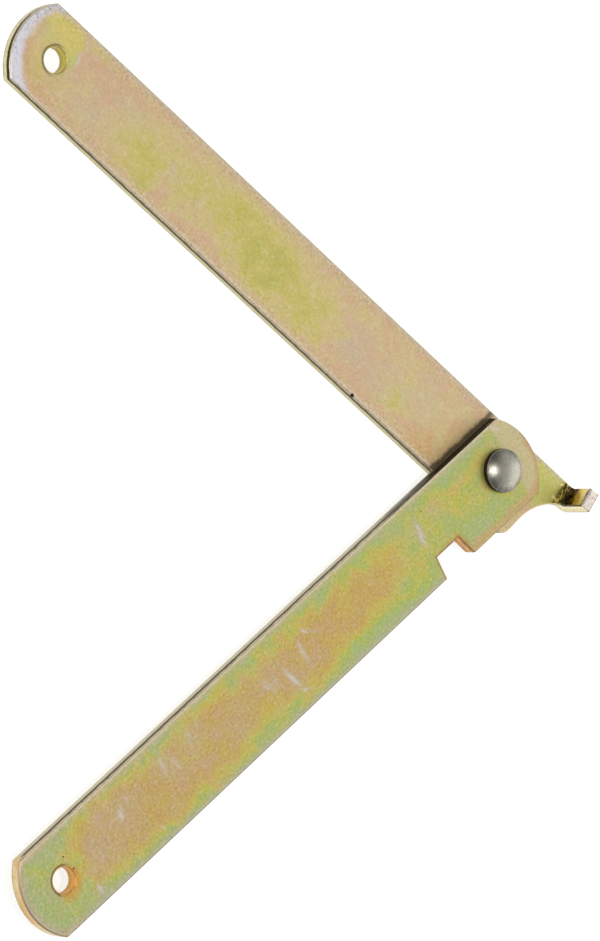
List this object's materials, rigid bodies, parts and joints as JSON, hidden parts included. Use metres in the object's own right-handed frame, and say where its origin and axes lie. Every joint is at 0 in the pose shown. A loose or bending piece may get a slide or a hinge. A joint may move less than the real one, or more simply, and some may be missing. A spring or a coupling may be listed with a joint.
{
  "type": "lid stay",
  "caption": "Folding lid stay: flat steel arms joined by a rivet, with a bent tab on one arm that locks in a notch in the other when the stay is opened straight.",
  "frame": {"origin": "middle of the notched arm's screw hole, on that arm's back face", "axes": "+X runs along the notched arm from its screw hole to the pivot, +Z points out of the front, towards the rivet's head, and +Y points to the side on which the tab arm stands at rest"},
  "size_m": [0.1339, 0.132, 0.0072],
  "materials": {
    "yellow_zinc": "yellow passivated zinc plate, satin, worn",
    "rivet_steel": "bare steel, satin"
  },
  "bodies": {
    "notched_arm": {"notched_arm": "yellow_zinc"},
    "tab_arm": {"tab_arm": "yellow_zinc", "rivet": "rivet_steel"}
  },
  "joints": [
    {"name": "pivot", "type": "hinge", "parent": "notched_arm", "child": "tab_arm", "pos_m": [0.1125, 0, 0], "axis": [0, 0, 1], "range_deg": [-108.4, 73]}
  ]
}
